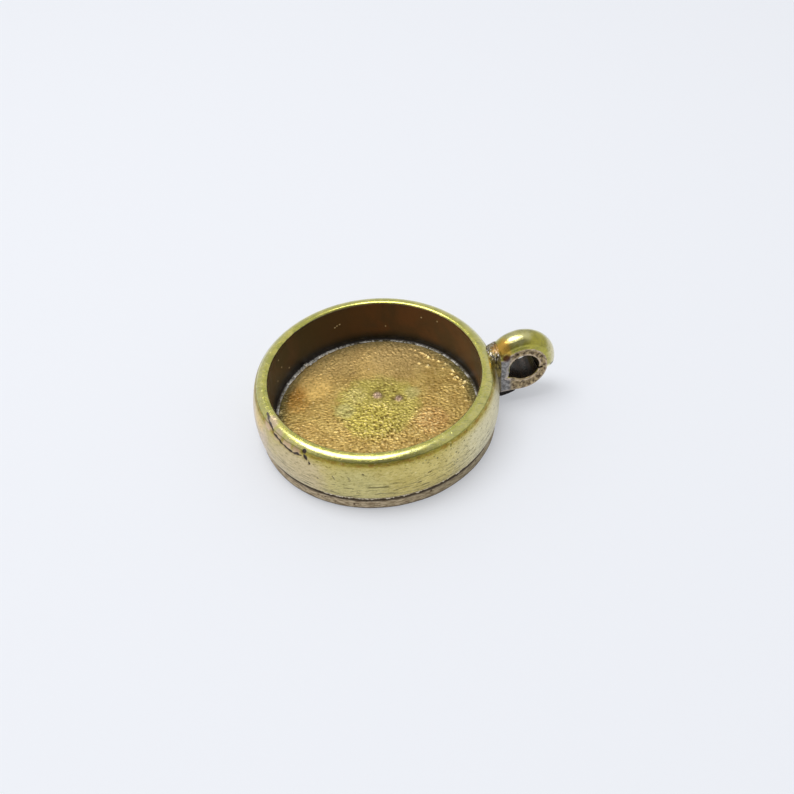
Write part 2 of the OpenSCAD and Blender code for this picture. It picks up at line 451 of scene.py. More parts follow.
# ---- Floor solder ----
# Solder drawn up into the corner between the floor and the wall. It set as a ragged pale burr along the
# floor's edge, thick on the side away from the loop and thin and broken elsewhere.
HEAVY_TURN, HEAVY_SPREAD = 216, 20  # where the burr is heaviest, in degrees


def spin_round(steps, centre, axis, merge):
    """Turns the active outline a full circle, and merges what meets."""
    edit_all()
    bpy.ops.mesh.spin(steps=steps, angle=2 * pi, center=centre, axis=axis)
    bpy.ops.mesh.select_all(action="SELECT")
    bpy.ops.mesh.remove_doubles(threshold=merge)
    close_edit()


def turn_section(name, section, steps):
    """A ring turned about the cup's axis from a closed section of (radius, height) points."""
    ring = new_outline([(r, 0, z) for r, z in section], "NOTHING")
    ring.name = name
    spin_round(steps, (0, 0, 0), (0, 0, 1), 0.0001)
    return ring


burr_section = [(7.66, 1.04), (7.68, 1.09), (7.71, 1.13), (7.75, 1.16), (7.79, 1.165), (7.83, 1.15),
                (7.87, 1.135), (7.91, 1.15), (7.95, 1.2), (7.98, 1.27), (8.01, 1.34), (8.06, 1.34),
                (8.06, 1.04)]
floor_solder = turn_section("floor_solder_burr", burr_section, 900)
for vertex in floor_solder.data.vertices:
    x, y, z = vertex.co
    r = hypot(x, y)
    heavy = 0.22 + 0.78 * bell(degrees(atan2(y, x)) % 360 - HEAVY_TURN, HEAVY_SPREAD)
    ring_place = Vector((x, y, 0)) / r
    crest = max(0, 1 - abs(r - 7.79) / 0.14)
    lump = 0.5 + 0.8 * noise.noise(ring_place * 12) + 1.1 * noise.noise(ring_place * 48)
    side = 0.06 * noise.noise(ring_place * 30) + 0.07 * noise.noise(ring_place * 85)
    if r < SEAT_R:
        r += side * crest
        r -= 0.26 * heavy * max(0, 1 - abs(r - 7.75) / 0.1)
        z += crest * (heavy * 0.3 * max(-0.1, lump) - 0.03)
    vertex.co = (ring_place.x * r, ring_place.y * r, z)
finish_mesh(floor_solder, 60)

soft_solder, tree, shader, position = new_material("pale_solder_burr")
radius, _, _, height = split(position)
broken = cloudy(position, 0.45, 0.5)
flecks = cloudy(position, 0.16, 0.46)
flaky = stained(position, (-6.2, -4.6, 1.2), 3.4, 0.3, 0.4)
flaky = times(flaky, ramp(flecks, 0.0, 1.0, 0.35, 1.0))
broken = compute("MAXIMUM", times(broken, 0.7), flaky)
colour = tint(broken, (0.09, 0.07, 0.03), (1.0, 0.97, 0.9))
colour = tint(ramp(height, 1.12, 1.16), (0.1, 0.08, 0.02), colour)
colour = tint(ramp(radius, 7.84, 7.9), colour, (0.015, 0.01, 0.006))
tree.links.new(colour, shader.inputs["Base Color"])
shader.inputs["Metallic"].default_value = 0.2
shader.inputs["Roughness"].default_value = 0.35
floor_solder.data.materials.append(soft_solder)
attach(floor_solder, "root")
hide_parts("floor_solder")

# ---- Bezel band ----
# The wall of the cup: a brass ring with a bellied outside, a polished and rounded lip, and a dark
# patina on the inside. A casting crack with a pit runs under the lip, on the side away from the loop.
BAND_R = 9.38
BARREL_R, BARREL_Z = 6.25, 2.5
SHOULDER_R, SHOULDER_AT = 0.8, (8.308, 4.2)
INNER_EDGE_R, INNER_EDGE_AT = 0.25, (8.25, 4.75)
LIP_START_Z, LIP_FULL_Z = 4.72, 4.86
BEVEL = [(8.9, 1.1), (9.0, 1.19), (9.1, 1.28), (9.2, 1.37), (9.28, 1.44)]
barrel_centre = BAND_R - BARREL_R


def outside_r(z):
    """Radius of the band's outside at a height, without its wear."""
    if z < SHOULDER_AT[1] + 0.25:
        return barrel_centre + sqrt(BARREL_R**2 - (z - BARREL_Z) ** 2)
    return SHOULDER_AT[0] + sqrt(max(0, SHOULDER_R**2 - (z - SHOULDER_AT[1]) ** 2))


section = [(SEAT_R, FLOOR_Z), (8.45, FLOOR_Z)] + BEVEL
section += [(outside_r(z), z) for z in [1.45 + 0.075 * i for i in range(30)]]
section += [(outside_r(z), z) for z in [3.7 + 0.05 * i for i in range(15)]]
for i in range(21):
    turn = radians(18.5 + 71.5 * i / 20)
    section.append((SHOULDER_AT[0] + SHOULDER_R * cos(turn), SHOULDER_AT[1] + SHOULDER_R * sin(turn)))
for i in range(9):
    turn = radians(90 + 90 * i / 8)
    inner_r, inner_z = INNER_EDGE_AT
    section.append((inner_r + INNER_EDGE_R * cos(turn), inner_z + INNER_EDGE_R * sin(turn)))
section += [(SEAT_R, INNER_EDGE_AT[1] - 0.152 * i) for i in range(1, 24)]

bezel_band = turn_section("bezel_band_wall", section, 684)

# Spacing round the band, in millimetres: fine at the crack, middling on the worn side, open elsewhere
spans = [(-78, -38, 0.045), (-38, 95, 0.072), (95, 262, 0.135), (262, 282, 0.09)]
counts = [radians(high - low) * 9.2 / step for low, high, step in spans]
edges, total = [], sum(counts)
for (low, high, step), count in zip(spans, counts):
    edges.append((low, high, count / total))


def spread(share):
    """Angle in degrees at a share of the way round, so that the steps are fine where the detail is."""
    for low, high, part in edges:
        if share <= part:
            return low + (high - low) * share / part
        share -= part
    return edges[-1][1]


# The marks on the band, placed by the angle round it in degrees and the height
CRACK = [(-75.9, 4.93), (-71.5, 4.83), (-68.2, 4.73), (-64.5, 4.52), (-62.6, 4.48), (-60.9, 4.39),
         (-58.4, 4.36), (-55.1, 4.25), (-50.7, 4.21), (-48.2, 4.24), (-46.1, 4.31)]
CRACK_TAIL = [(-44.6, 4.5), (-43.4, 4.25), (-41.9, 3.97)]
CRACK_PIT = (-45.0, 4.7, 0.17)
CRACK_DEPTH = 0.13
NICKS = [((-30.6, 3.45), (-29.6, 3.2), 0.05), ((-23.3, 3.55), (-22.5, 3.25), 0.04),
         ((-16.9, 3.92), (-16.3, 3.86), 0.06), ((78.0, 4.0), (79.5, 3.5), 0.07),
         ((5.5, 2.47), (8.5, 2.42), 0.035), ((-9.0, 2.3), (2.0, 2.25), 0.03),
         ((-20.0, 2.05), (-9.0, 1.95), 0.03), ((-14.0, 2.75), (-6.0, 2.72), 0.025),
         ((-38.0, 2.9), (-37.4, 2.85), 0.06), ((12.0, 3.1), (18.0, 3.05), 0.025)]
WALL_SPECKS = [(191.6, 3.33), (189.9, 3.4), (193.0, 3.22), (141, 3.98), (130.4, 4.16), (236, 3.1), (243, 2.5),
               (229, 2.2), (238, 4.1)]


def on_band(angle, z):
    r = outside_r(z)
    return Vector((r * cos(radians(angle)), r * sin(radians(angle)), z))


def mark_points(piece, name, values):
    """Keeps one number for each of a piece's points, for its material to read."""
    mark = piece.data.attributes.new(name, "FLOAT", "POINT")
    mark.data.foreach_set("value", values)


def read_mark(tree, name):
    return add(tree, "Attribute", {"attribute_name": name}).outputs["Fac"]


def scratched(position, turn, stretch, share):
    return place_group(scratches, Position=position, Turn=turn, Stretch=stretch, Share=share)


def distance_to(point, start, end):
    line = end - start
    share = max(0, min(1, (point - start).dot(line) / line.length_squared))
    return (point - start - line * share).length


crack_lines = [[on_band(*p) for p in CRACK], [on_band(*p) for p in CRACK_TAIL]]
nick_lines = [(on_band(*start), on_band(*end), width) for start, end, width in NICKS]
pit_place = on_band(*CRACK_PIT[:2])
crack_depth = []
for vertex in bezel_band.data.vertices:
    x, y, z = vertex.co
    r = hypot(x, y)
    angle = radians(spread(atan2(y, x) / (2 * pi) % 1))
    place = Vector((r * cos(angle), r * sin(angle), z))
    turn_degrees = (degrees(angle) + 180) % 360 - 180
    depth = 0
    if r > 8.3 and z > 1.2:
        hand = 0.008 + 0.008 * noise.noise(place / 2.3) + 0.004 * noise.noise(place / 0.5)
        if -80 < turn_degrees < -36 and z > 3.8:
            width = 0.095 + 0.07 * noise.noise(place / 0.3)
            ragged = place + noise.noise_vector(place / 0.3) * 0.09
            near = min(distance_to(ragged, a, b) for line in crack_lines for a, b in zip(line, line[1:]))
            depth = bell(near, width)
            pit = (place - pit_place).length
            depth = max(depth, 1.2 * exp(-((pit / CRACK_PIT[2]) ** 4)) * (0.6 + 0.4 * min(1, pit / 0.12)))
        if -40 < turn_degrees < 90:
            for start, end, width in nick_lines:
                if abs(place.z - start.z) < 0.6:
                    depth = max(depth, 0.6 * bell(distance_to(place, start, end), width))
        inward = hand + CRACK_DEPTH * depth
        place.x -= inward * cos(angle)
        place.y -= inward * sin(angle)
    elif r < 8.1 and 1.2 < z < 4.8:
        wave = 0.012 * noise.noise(Vector((place.x, place.y, 0.5 * z)) / 1.6)
        place.x += wave * cos(angle)
        place.y += wave * sin(angle)
    vertex.co = place
    crack_depth.append(depth)
mark_points(bezel_band, "crack", crack_depth)
finish_mesh(bezel_band, 60)

band_brass, tree, shader, position = new_material("worn_band_brass")
radius, _, along_y, height = split(position)
# Satin brass outside
colour = tint(cloudy(position, 1.4), (0.55, 0.45, 0.13), (0.66, 0.55, 0.18))
# Stains on the band, each as (centre, radius, paint, strength)
band_patches = [
    (on_band(-86, 2.6), 3.0, (0.72, 0.57, 0.44), 0.8),
    (on_band(-50, 2.6), 2.6, (0.66, 0.54, 0.34), 0.75),
    (on_band(95, 4.3), 1.3, (0.12, 0.1, 0.02), 0.9),
    (on_band(87, 3.3), 0.9, (0.16, 0.13, 0.04), 0.7),
    (on_band(-20, 2.2), 2.2, (0.58, 0.54, 0.24), 0.5),
    (on_band(60, 3.0), 5.0, (0.74, 0.69, 0.46), 0.8),
    (on_band(-80, 4.2), 1.0, (0.85, 0.62, 0.2), 0.8),
]
copper_patches = [
    (on_band(-70, 4.85), 0.6, (0.78, 0.58, 0.4), 0.8),
    (on_band(-62, 4.68), 0.45, (0.72, 0.54, 0.36), 0.75),
    (on_band(-55, 4.56), 0.4, (0.72, 0.52, 0.35), 0.75),
    (on_band(-49, 4.55), 0.35, (0.58, 0.4, 0.26), 0.75),
]
for centre, size, paint, strength in band_patches:
    colour = lay_stain(position, colour, centre, size, 0.3, 0.45, paint, strength)
# Under the lip a deeper olive is painted reflection of the dark room behind the camera, and all over the band
# is speckled with wear and dirt
underlip_reflection = times(ramp(height, 3.9, 4.6), 0.75)
colour = tint(underlip_reflection, colour, (0.55, 0.45, 0.09))
# The rust line where the lip's polish ends
polish_end = times(ramp(height, 4.38, 4.55), ramp(height, 4.78, 4.66))
rust = times(polish_end, cloudy(position, 0.5, 0.52))
colour = tint(times(polish_end, 0.6), colour, (0.36, 0.3, 0.03))
colour = tint(times(rust, 0.75), colour, (0.36, 0.19, 0.04))
streaked = add(tree, "Mapping", Vector=position, Rotation=(0.5, 0.0, 0.0), Scale=(1, 1, 2.4)).outputs[0]
speckle = add(tree, "TexNoise", Vector=streaked, Scale=3.4, Detail=7.0, Roughness=0.82, Distortion=0.5)
speckle = speckle.outputs[0]
colour = tint(ramp(speckle, 0.52, 0.62, 0.0, 0.75), colour, (0.2, 0.15, 0.03))
colour = tint(ramp(speckle, 0.45, 0.34, 0.0, 0.55), colour, (0.9, 0.82, 0.5))
fine_lines = scratched(position, (0, 0, 0), (0.7, 0.7, 10), 1.0)
low_band = ramp(height, 3.6, 2.6)
fine_lines = times(fine_lines, low_band)
colour = tint(times(fine_lines, 0.85), colour, (0.13, 0.11, 0.03))
dark_pits = pitted(position, 0.24, 0.42, 0.55)
pit_zone = stained(position, on_band(24, 4.3), 2.4, 1.1, 0.6)
pit_zone = times(pit_zone, cloudy(position, 0.6, 0.46))
dark_pits = times(dark_pits, pit_zone)
few_pits = pitted(position, 0.55, 0.12, 0.25)
dark_pits = compute("MAXIMUM", dark_pits, times(few_pits, 0.6))
colour = tint(times(dark_pits, 0.8), colour, (0.1, 0.1, 0.03))
# Lip, polished to a greener shine
rough_lip = noisy(position, 2.5, 3.0)
lip_height = compute("ADD", height, times(rough_lip, 0.1))
on_lip = ramp(lip_height, LIP_START_Z, LIP_FULL_Z)
lip = tint(cloudy(position, 0.8), (0.46, 0.45, 0.04), (0.66, 0.6, 0.1))
cross = scratched(position, (0, 0, 0.6), (8, 0.9, 1), 0.85)
cross_back = scratched(position, (0, 0, -0.9), (9, 1.1, 1), 0.8)
crossing = compute("MAXIMUM", cross, cross_back)
lip = tint(times(crossing, 0.7), lip, (0.2, 0.22, 0.02))
lip = tint(ramp(speckle, 0.45, 0.35, 0.0, 0.5), lip, (0.8, 0.8, 0.4))
# Painted highlight: a pale tint along the lip's crest, broken by the speckle
lip_crest_highlight = times(ramp(radius, 8.3, 8.5), ramp(radius, 8.98, 8.8))
lip_crest_highlight = times(lip_crest_highlight, ramp(speckle, 0.6, 0.45, 0.1, 0.35))
lip = tint(lip_crest_highlight, lip, (0.74, 0.7, 0.34))
colour = tint(on_lip, colour, lip)
for centre, size, paint, strength in copper_patches:
    colour = lay_stain(position, colour, centre, size, 0.4, 0.35, paint, strength)
# Painted reflection: a dark green line where the lip's rounding turns down to the band
lip_edge_reflection = times(ramp(on_lip, 0.0, 0.4), ramp(on_lip, 0.95, 0.5))
colour = tint(times(lip_edge_reflection, 0.7), colour, (0.16, 0.18, 0.015))
# Patina inside, dark and brown, browner towards the side near the loop; towards the bottom painted shade
# takes it near black
inner_wander = times(compute("SUBTRACT", rough_lip, 0.5), 0.05)
inside = ramp(compute("ADD", radius, inner_wander), 8.03, 8.07, 1.0, 0.0)
patina_and_shade = tint(ramp(along_y, -6.0, 4.0), (0.045, 0.03, 0.009), (0.13, 0.045, 0.014))
patina_and_shade = tint(cloudy(position, 2.6), patina_and_shade, (0.075, 0.035, 0.014))
# Painted shade: near black towards the bottom of the inside wall
patina_and_shade = tint(ramp(height, 2.3, 1.3), patina_and_shade, (0.008, 0.006, 0.004))
specks = pitted(position, 1.1, 0.06, 0.16)
for turn, at in WALL_SPECKS:
    centre = (SEAT_R * cos(radians(turn)), SEAT_R * sin(radians(turn)), at)
    mask = stained(position, centre, 0.06, 0.0, 0.4)
    specks = compute("MAXIMUM", specks, mask)
patina_and_shade = tint(specks, patina_and_shade, (0.8, 0.68, 0.45))
colour = tint(inside, colour, patina_and_shade)
cracked = read_mark(tree, "crack")
colour = tint(ramp(cracked, 0.12, 0.6), colour, (0.04, 0.022, 0.01))
# Painted shade on the bevel under the belly, uneven
bevel_shade = times(ramp(height, 1.46, 1.32), ramp(cloudy(position, 0.5), 0.0, 1.0, 0.0, 0.55))
colour = tint(bevel_shade, colour, (0.1, 0.07, 0.03))
tree.links.new(colour, shader.inputs["Base Color"])
metal = times(ramp(inside, 0.0, 1.0, 1.0, 0.25), ramp(cracked, 0.15, 0.75, 1.0, 0.3))
tree.links.new(metal, shader.inputs["Metallic"])
satin = compute("SUBTRACT", 0.38, times(on_lip, 0.2))
tree.links.new(satin, shader.inputs["Roughness"])
coat = compute("ADD", 0.3, times(on_lip, 0.7))
coat = times(coat, ramp(polish_end, 0.0, 1.0, 1.0, 0.2))
tree.links.new(times(coat, ramp(inside, 0.0, 1.0, 1.0, 0.15)), shader.inputs["Coat Weight"])
shader.inputs["Coat Roughness"].default_value = 0.12
shader.inputs["Coat IOR"].default_value = 1.8
rough = noisy(position, 7.0, 4.0, 0.7)
relief = compute("ADD", rough, times(speckle, -2.5))
relief = times(relief, ramp(on_lip, 0.0, 1.0, 1.0, 0.3))
relief = compute("SUBTRACT", relief, times(dark_pits, 1.5))
relief = compute("SUBTRACT", relief, times(compute("MAXIMUM", crossing, fine_lines), 0.5))
set_bump(shader, relief, 0.012)
bezel_band.data.materials.append(band_brass)
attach(bezel_band, "root")
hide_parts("bezel_band")

# ---- Seam solder ----
# Solder squeezed out under the band's bevel, all round the foot: a dark uneven line with bright beads
# on the side opposite the seat's heavy burr.
BEADS_TURN, BEADS_SPREAD = -6, 26  # where the beads are largest, in degrees
seam_section = [(8.86, 1.11), (8.95, 1.085), (9.02, 1.085), (9.07, 1.1), (9.1, 1.13), (9.11, 1.17),
                (9.1, 1.21), (9.06, 1.235), (9.0, 1.23), (8.9, 1.18)]
seam_solder = turn_section("seam_solder_beads", seam_section, 1000)
bead_height = []
for vertex in seam_solder.data.vertices:
    x, y, z = vertex.co
    r = hypot(x, y)
    ring_place = Vector((x, y, 0)) / r
    beads = 0.3 + 0.7 * bell(degrees(atan2(y, x)) - BEADS_TURN, BEADS_SPREAD)
    lump = noise.noise(ring_place * 20) + 0.7 * noise.noise(ring_place * 60)
    swell = max(0, lump) * beads
    if r > 8.98:
        r += 0.14 * swell - 0.03 * (1 - beads)
        z += 0.05 * noise.noise(ring_place * 45)
    vertex.co = (ring_place.x * r, ring_place.y * r, z)
    bead_height.append(swell)
mark_points(seam_solder, "bead", bead_height)
finish_mesh(seam_solder, 70)

seam_metal, tree, shader, position = new_material("dull_seam_solder")
beaded = read_mark(tree, "bead")
colour = tint(cloudy(position, 0.4, 0.52), (0.22, 0.16, 0.09), (0.85, 0.74, 0.5))
colour = tint(ramp(beaded, 0.06, 0.25), colour, (0.8, 0.72, 0.56))
tree.links.new(colour, shader.inputs["Base Color"])
shader.inputs["Metallic"].default_value = 0.85
shader.inputs["Roughness"].default_value = 0.36
seam_solder.data.materials.append(seam_metal)
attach(seam_solder, "root")
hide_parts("seam_solder")

# ---- Bail loop ----
# The fixed loop that the jump ring or cord passes through, cast in one with a short neck: a crowned arch
# above, a slimmer heel below a small step, and an eye drawn out to a corner towards the cup.
LOOP_W = 2.07
EYE = (11.38, 3.43)
EYE_R = 1.25
ARCH_R, ARCH_SIDE_R = 2.7, 1.85
HEEL = (11.23, 3.28)
HEEL_R, HEEL_SIDE_R = 2.28, 2.01
LEDGE_Z = 3.03
ROOT_Y = 9.5
NECK_TOP, NECK_BOTTOM = 5.368, 1.0
NECK_SPARE = 0.2  # cut off again where the root is filed flat
EYE_CORNER = (9.98, 2.6)
CORNER_LEAN = 0.68  # half the angle between the corner's two sides, as seen from the eye's centre
CORNER_START = 0.98  # share of the eye's radius at which those sides start
CORNER_REACH = 1.55
DRAFT, CORNER_DRAFT, DRAFT_SHIFT = 0.72, 0.6, 0.12
NOTCH, NOTCH_R, NOTCH_LONGER = (12.68, 3.14), 0.1, 1.4
SIDE_X = 0.93  # the loop's flat sides lie beyond this


def crown(crown_r, side_r, steps=14):
    """Rounding across the loop, as (offset across, radius)."""
    sag = crown_r - side_r
    bow = ((LOOP_W / 2) ** 2 + sag**2) / (2 * sag)
    half = LOOP_W / 2
    offsets = [-half + LOOP_W * i / steps for i in range(steps + 1)]
    return [(x, crown_r - bow + sqrt(bow**2 - x**2)) for x in offsets]


def crowned_disc(name, centre, crown_r, side_r):
    """Disc across X with a rounded crown, turned about the given line."""
    outline = [(-LOOP_W / 2, 0)] + crown(crown_r, side_r) + [(LOOP_W / 2, 0)]
    disc = new_outline([(x, centre[0], centre[1] + r) for x, r in outline], "NOTHING")
    disc.name = name
    spin_round(160, (0, *centre), (1, 0, 0), 0.0005)
    return disc


def draw_out(offset):
    """Draws the active flat outline out into a bar."""
    edit_all()
    bpy.ops.mesh.extrude_region_move(TRANSFORM_OT_translate={"value": offset})
    close_edit()


def cut_flat(piece, point, normal):
    """Cuts away what lies on the normal's side of a plane, and closes the cut."""
    choose(piece)
    edit_all()
    bpy.ops.mesh.bisect(plane_co=point, plane_no=normal, use_fill=True, clear_outer=True)
    bpy.ops.object.mode_set(mode="OBJECT")


def combine(piece, other, operation):
    """Joins another solid to a piece, or cuts it out, and drops the other."""
    modifier = piece.modifiers.new(operation.lower(), "BOOLEAN")
    modifier.operation = operation
    modifier.object = other
    modifier.solver = "EXACT"
    choose(piece)
    bpy.ops.object.modifier_apply(modifier=modifier.name)
    bpy.data.objects.remove(other)


def remesh(piece, voxel, rounds, factor=0.5):
    """Gives a joined solid one even skin, and rounds its edges a little."""
    bpy.context.view_layer.objects.active = piece
    skin = piece.modifiers.new("skin", "REMESH")
    skin.mode = "VOXEL"
    skin.voxel_size = voxel
    bpy.ops.object.modifier_apply(modifier=skin.name)
    ease = piece.modifiers.new("ease", "SMOOTH")
    ease.factor = factor
    ease.iterations = rounds
    bpy.ops.object.modifier_apply(modifier=ease.name)


bail_loop = crowned_disc("bail_loop_casting", EYE, ARCH_R, ARCH_SIDE_R)
cut_flat(bail_loop, (0, 0, LEDGE_Z), (0, 0, -1))
heel = crowned_disc("heel", HEEL, HEEL_R, HEEL_SIDE_R)
cut_flat(heel, (0, 0, LEDGE_Z + 0.02), (0, 0, 1))
combine(bail_loop, heel, "UNION")

# The neck is a bar whose crown and underside are rounded like the ring's
neck_outline = [(x, NECK_TOP - ARCH_R + r) for x, r in crown(ARCH_R, ARCH_SIDE_R)]
neck_outline += [(-x, NECK_BOTTOM + HEEL_R - r) for x, r in crown(HEEL_R, HEEL_SIDE_R)]
neck = new_outline([(x, ROOT_Y - NECK_SPARE, z) for x, z in neck_outline])
draw_out((0, HEEL[0] - ROOT_Y + NECK_SPARE, 0))
combine(bail_loop, neck, "UNION")
cut_flat(bail_loop, (0, ROOT_Y, 0), (0, -1, 0))


def rod_along_x(vertices, radius, length, place=(0, 0)):
    """A straight rod across the loop, about the given (y, z)."""
    deselect()
    bpy.ops.mesh.primitive_cylinder_add(vertices=vertices, radius=radius, depth=length, location=(0, *place),
                                        rotation=(0, pi / 2, 0))
    bpy.ops.object.transform_apply()
    return bpy.context.object


# The eye is a round hole with a wedge towards the cup
drill = rod_along_x(128, EYE_R, 4, EYE)
heading = atan2(EYE_CORNER[1] - EYE[1], EYE_CORNER[0] - EYE[0])
wedge_outline = [EYE, EYE, EYE_CORNER, EYE]
for index, turn in ((1, heading - CORNER_LEAN), (3, heading + CORNER_LEAN)):
    start_r = CORNER_START * EYE_R
    wedge_outline[index] = (EYE[0] + start_r * cos(turn), EYE[1] + start_r * sin(turn))
wedge = new_outline([(-2, y, z) for y, z in wedge_outline])
draw_out((4, 0, 0))
for cutter, draft in ((drill, DRAFT), (wedge, CORNER_DRAFT)):
    for vertex in cutter.data.vertices:  # the core had draft: the eye is narrower at its far end
        if vertex.co.x < 0:
            vertex.co.y = EYE[0] + DRAFT_SHIFT + draft * (vertex.co.y - EYE[0])
            vertex.co.z = EYE[1] + DRAFT_SHIFT + draft * (vertex.co.z - EYE[1])
combine(drill, wedge, "UNION")
combine(bail_loop, drill, "DIFFERENCE")

# A small parting notch runs on from the end of the eye
notch = rod_along_x(24, NOTCH_R, 4, NOTCH)
for vertex in notch.data.vertices:
    vertex.co.y += NOTCH_LONGER * (vertex.co.y - NOTCH[0])
combine(bail_loop, notch, "DIFFERENCE")
remesh(bail_loop, 0.036, 6)


def eye_gap(y, z):
    """How far a point stands off the eye's outline, its corner included."""
    to_round = hypot(y - EYE[0], z - EYE[1]) - EYE_R
    apart = 10
    for index in (1, 3):
        near, far = wedge_outline[index], EYE_CORNER
        run, rise = far[0] - near[0], far[1] - near[1]
        share = ((y - near[0]) * run + (z - near[1]) * rise) / (run**2 + rise**2)
        share = max(0, min(1, share))
        apart = min(apart, hypot(y - near[0] - share * run, z - near[1] - share * rise))
    to_cup, down = 0.864, 0.503  # the corner's direction
    way = (EYE[0] - y) * to_cup + (EYE[1] - z) * down
    off = abs((EYE[0] - y) * down - (EYE[1] - z) * to_cup)
    inside = 0 < way < CORNER_REACH and off < 0.75 * (CORNER_REACH - way)
    return min(to_round, -apart if inside else apart)


bore, lip_line, side_face, rim_line = [], [], [], []
for vertex in bail_loop.data.vertices:
    x, y, z = vertex.co
    from_eye = hypot(y - EYE[0], z - EYE[1])
    place = Vector((x, y, z))
    lump = 0.014 * noise.noise(place / 0.8) + 0.004 * noise.noise(place / 0.16)
    off_edge = eye_gap(y, z)
    inward = Vector((0.5 * x, (y - EYE[0]), (z - EYE[1]))).normalized()
    if off_edge > 0.3:
        place -= inward * (0.004 + max(-0.004, lump))
    # How far the point lies in from the flat side's own outline
    if z > LEDGE_Z:
        depth_in = ARCH_SIDE_R + 0.02 - from_eye
    else:
        depth_in = HEEL_SIDE_R + 0.02 - hypot(y - HEEL[0], z - HEEL[1])
    if y < HEEL[0]:
        below_top = NECK_TOP - ARCH_R + ARCH_SIDE_R + 0.02 - z
        above_bottom = z - NECK_BOTTOM - HEEL_R + HEEL_SIDE_R + 0.02
        depth_in = max(depth_in, min(below_top, above_bottom))
    if abs(x) > SIDE_X and off_edge > 0.08:  # the flat sides are pitted along their middle
        middle = bell(off_edge - 0.32, 0.13) * (1 if y > 10.2 else 0)
        rough_side = abs(ripple(x, y, z, 0.2)) + 0.5 * ripple(x, y, z, 0.09)
        place.x -= (0.04 * middle + 0.09 * rough_side * (0.15 + middle)) * (1 if x > 0 else -1)
    vertex.co = place
    on_flat = abs(x) > SIDE_X and off_edge > -0.05
    side_face.append(max(0, min(1, depth_in / 0.05)) if on_flat else 0.0)
    rim_line.append(bell(depth_in - 0.07, 0.06) if on_flat else 0.0)
    bore.append(1.0 if abs(x) < 0.985 and off_edge < 0.05 else 0.0)
    lip_line.append(bell(off_edge - 0.05, 0.045) if abs(x) > SIDE_X else 0.0)
mark_points(bail_loop, "side_face", side_face)
mark_points(bail_loop, "rim_line", rim_line)
mark_points(bail_loop, "bore", bore)
mark_points(bail_loop, "lip_line", lip_line)
finish_mesh(bail_loop, 70)

loop_brass, tree, shader, position = new_material("olive_loop_brass")
_, along_x, along_y, height = split(position)
colour = tint(cloudy(position, 0.9), (0.27, 0.25, 0.015), (0.44, 0.4, 0.03))
# Painted shade along the crown's far side (-X), towards its outline
colour = tint(ramp(along_x, -0.4, -0.85, 0.0, 0.75), colour, (0.1, 0.1, 0.01))
wander = noisy(position, 2.2, 5.0, 0.7)
for centre, size in (((0.25, 10.75, 5.95), 0.62), ((0.3, 11.65, 6.0), 0.42)):  # painted highlight: the crest is tinted pale where the lamp shines on it
    colour = lay_stain(position, colour, centre, size, 1.1, 0.6, (0.78, 0.74, 0.42), 0.5)
far_end = ramp(compute("ADD", along_y, times(wander, 0.9)), 13.5, 14.2)
satin_end = tint(pitted(position, 0.16, 0.4, 0.4), (0.66, 0.6, 0.32), (0.26, 0.23, 0.07))
colour = tint(far_end, colour, satin_end)
side_mix = cloudy(position, 0.26, 0.5)
side = tint(side_mix, (0.1, 0.065, 0.03), (0.52, 0.4, 0.22))
side = tint(pitted(position, 0.22, 0.35, 0.35), side, (0.04, 0.02, 0.012))
near_root = ramp(along_y, 10.6, 10.1)
side = tint(near_root, side, tint(side_mix, (0.13, 0.125, 0.12), (0.36, 0.35, 0.34)))
heel_zone = ramp(height, 2.9, 2.4)
colour = tint(times(heel_zone, 0.85), colour, (0.36, 0.25, 0.15))
under = ramp(height, 1.8, 1.3)
colour = tint(times(under, 0.9), colour, (0.03, 0.02, 0.012))
# Painted reflection: grey on the heel's crown below the step, at the far end
heel_crown_reflection = times(ramp(height, 3.04, 2.96), ramp(along_y, 12.6, 12.9))
colour = tint(heel_crown_reflection, colour, (0.3, 0.3, 0.27))
# Painted shadow: a dark line along the step at the far end
ledge_place = compute("ADD", height, times(wander, 0.12))
ledge_shadow = times(ramp(ledge_place, 3.36, 3.28), ramp(ledge_place, 3.12, 3.18))
ledge_shadow = times(ledge_shadow, ramp(along_y, 12.95, 13.1))
colour = tint(ledge_shadow, colour, (0.05, 0.04, 0.01))
# Painted highlight: a pale glint just under the step at the far end
ledge_glint = stained(position, (0.9, 13.25, 2.95), 0.3, 0.4, 0.4)
colour = tint(ledge_glint, colour, (0.95, 0.93, 0.6))
on_side = read_mark(tree, "side_face")
colour = tint(on_side, colour, side)
# Pale lines along the eye's edge and the flat sides' rim: worn edges, with painted highlight
edge_line = read_mark(tree, "lip_line")
outer_line = read_mark(tree, "rim_line")
lines = compute("MAXIMUM", edge_line, times(outer_line, 0.7))
lines = times(lines, ramp(wander, 0.38, 0.6, 0.15, 0.95))
colour = tint(lines, colour, (0.72, 0.58, 0.46))
in_eye = read_mark(tree, "bore")
colour = tint(in_eye, colour, tint(side_mix, (0.02, 0.018, 0.016), (0.05, 0.03, 0.018)))
root_stains = [
    ((0.4, 9.9, 5.3), 0.62, (0.7, 0.38, 0.07), 0.8),
    ((0.98, 9.95, 4.7), 0.34, (0.06, 0.013, 0.004), 0.95),
]
under_stain = 0.0
for centre, size, paint, strength in root_stains:
    mask = stained(position, centre, size, 0.9, 0.45)
    under_stain = compute("MAXIMUM", under_stain, mask)
    colour = tint(times(mask, strength), colour, paint)
tree.links.new(colour, shader.inputs["Base Color"])
tree.links.new(ramp(in_eye, 0.0, 1.0, 0.95, 0.3), shader.inputs["Metallic"])
polish = compute("ADD", 0.22, times(far_end, 0.2))
polish = compute("ADD", polish, times(on_side, 0.22))
tree.links.new(polish, shader.inputs["Roughness"])
dull = compute("MAXIMUM", in_eye, times(on_side, 0.7))
dull = compute("MAXIMUM", dull, times(under_stain, 0.85))
tree.links.new(ramp(dull, 0.0, 1.0, 1.0, 0.05), shader.inputs["Coat Weight"])
